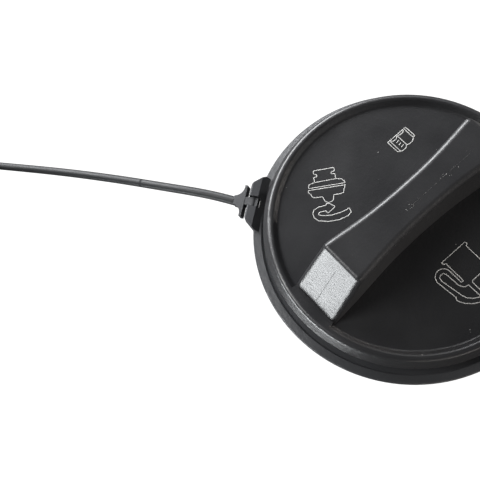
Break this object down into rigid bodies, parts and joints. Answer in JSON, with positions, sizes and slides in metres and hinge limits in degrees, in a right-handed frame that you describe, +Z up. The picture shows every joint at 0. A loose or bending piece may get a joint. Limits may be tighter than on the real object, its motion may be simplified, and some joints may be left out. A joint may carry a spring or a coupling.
{
  "type": "fuel filler cap",
  "caption": "Round screw-in cap with a waisted grip bar across its top, a ratchet and relief valves inside, and a swivelling ring that carries a flexible tether with a push-in anchor.",
  "frame": {"origin": "centre of the closure's flat lower end, on the cap's axis", "axes": "+Z up the cap's axis towards the grip, +X along the grip bar"},
  "size_m": [0.1644, 0.1885, 0.0595],
  "materials": {
    "cover_nylon": "moulded black nylon with a fine satin grain",
    "body_nylon": "moulded black glass-filled nylon",
    "ring_plastic": "moulded black acetal, satin",
    "tether_plastic": "slate grey flexible polyurethane, satin",
    "gasket_rubber": "black nitrile rubber",
    "seal_rubber": "blue-grey fluorosilicone rubber",
    "cartridge_acetal": "natural acetal",
    "washer_nylon": "natural nylon",
    "valve_nylon": "dark grey nylon",
    "spring_steel": "drawn spring steel wire and strip"
  },
  "bodies": {
    "closure": {"closure_body": "body_nylon", "neck_gasket": "gasket_rubber", "valve_housing": "cartridge_acetal", "housing_o_ring": "gasket_rubber", "valve_seat": "cartridge_acetal", "pressure_spring": "spring_steel"},
    "cover": {"grip_cover": "cover_nylon", "ratchet_ring": "cartridge_acetal", "retaining_clip": "spring_steel", "thrust_washer": "washer_nylon"},
    "ring": {"tether_ring": "ring_plastic"},
    "tether": {"tether_yoke": "tether_plastic", "tether_strap": "tether_plastic", "tether_anchor": "tether_plastic"},
    "pressure_valve": {"pressure_valve": "valve_nylon", "valve_seal": "seal_rubber", "vacuum_spring": "spring_steel"},
    "vacuum_valve": {"vacuum_valve": "valve_nylon", "stem_nut": "spring_steel"}
  },
  "joints": [
    {"name": "cover_ratchet", "type": "hinge", "parent": "closure", "child": "cover", "pos_m": [0, 0, 0.0305], "axis": [0, 0, 1], "continuous": true},
    {"name": "ring_swivel", "type": "hinge", "parent": "closure", "child": "ring", "pos_m": [0, 0, 0.0345], "axis": [0, 0, 1], "continuous": true},
    {"name": "tether_hinge", "type": "hinge", "parent": "ring", "child": "tether", "pos_m": [-0.02534, 0.03462, 0.0359], "axis": [-0.807, -0.5906, 0], "range_deg": [-100, 65]},
    {"name": "pressure_relief", "type": "slide", "parent": "closure", "child": "pressure_valve", "axis": [0, 0, 1], "range_m": [0, 0.003], "stiffness_N_per_m": 400, "springref_m": -0.001, "deforming": ["pressure_spring"]},
    {"name": "vacuum_relief", "type": "slide", "parent": "pressure_valve", "child": "vacuum_valve", "axis": [0, 0, -1], "range_m": [0, 0.0013], "stiffness_N_per_m": 120, "springref_m": -0.0005, "deforming": ["vacuum_spring"]}
  ]
}
